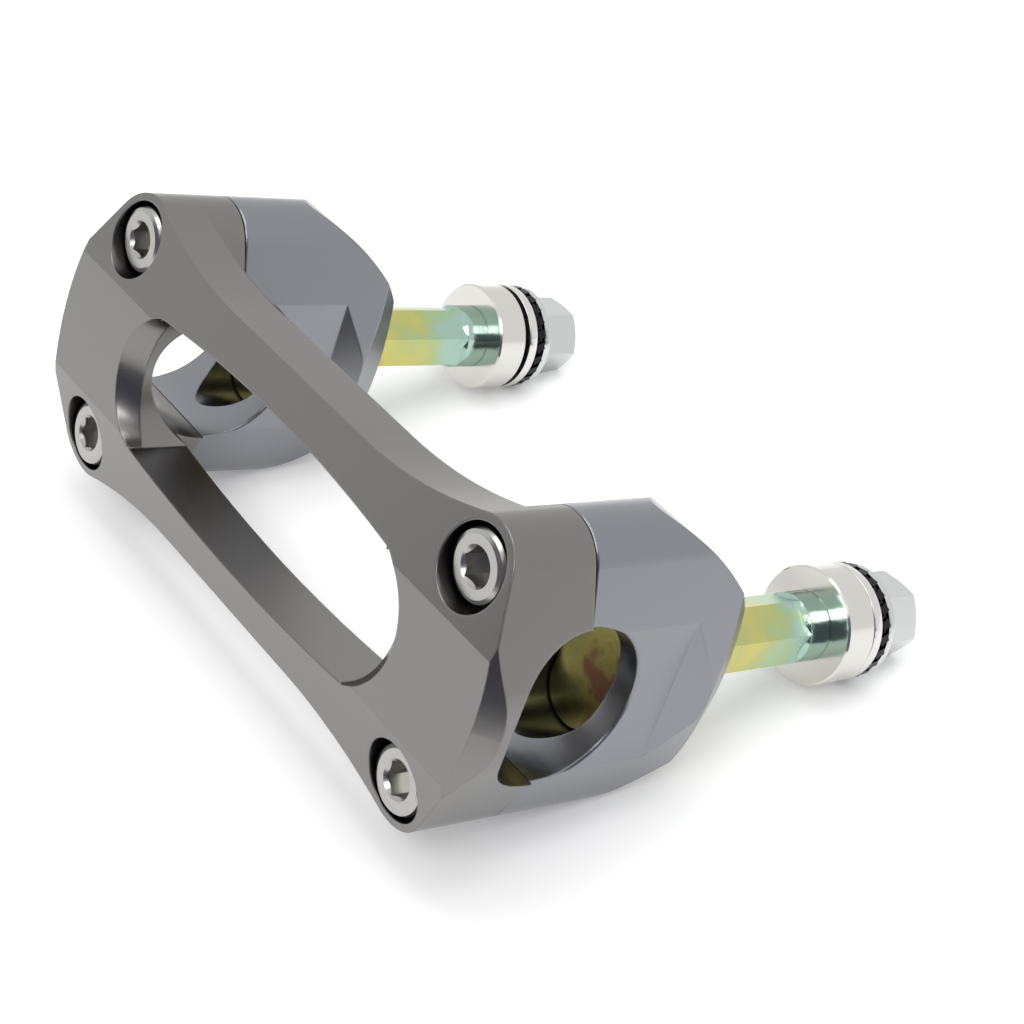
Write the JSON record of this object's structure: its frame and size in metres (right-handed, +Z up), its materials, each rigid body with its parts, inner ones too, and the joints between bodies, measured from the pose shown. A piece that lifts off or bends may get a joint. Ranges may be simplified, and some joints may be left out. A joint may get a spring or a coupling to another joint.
{
  "type": "motorbike handlebar clamp",
  "caption": "Bridge-type handlebar clamp: one-piece top clamp over two lower clamps, socket screws, long mounting bolts with spacers, lock washers and flange nuts.",
  "frame": {"origin": "on the handlebar's axis, midway between the two clamps", "axes": "+X along the handlebar to the right clamp, +Y to the front cap screws, +Z up out of the top clamp, away from the mounting bolts"},
  "size_m": [0.15, 0.061, 0.1189],
  "materials": {
    "anodised_cap": "satin gunmetal anodised",
    "anodised_lower": "satin blue-grey anodised",
    "zinc_screw": "bright zinc plated",
    "yellow_zinc": "iridescent yellow-green zinc passivated",
    "turned_aluminium": "bright turned",
    "bright_washer": "bright zinc plated",
    "black_oxide": "black oxide",
    "zinc_nut": "bright zinc plated"
  },
  "bodies": {
    "root": {"top_clamp": "anodised_cap", "lower_clamp_left": "anodised_lower", "lower_clamp_right": "anodised_lower", "cap_screw_front_left": "zinc_screw", "cap_screw_front_right": "zinc_screw", "cap_screw_rear_left": "zinc_screw", "cap_screw_rear_right": "zinc_screw", "mounting_bolt_left": "yellow_zinc", "mounting_bolt_right": "yellow_zinc", "spacer_left": "turned_aluminium", "spacer_right": "turned_aluminium", "flat_washer_left": "bright_washer", "flat_washer_right": "bright_washer", "toothed_washer_left": "black_oxide", "toothed_washer_right": "black_oxide", "flange_nut_left": "zinc_nut", "flange_nut_right": "zinc_nut"}
  },
  "joints": []
}
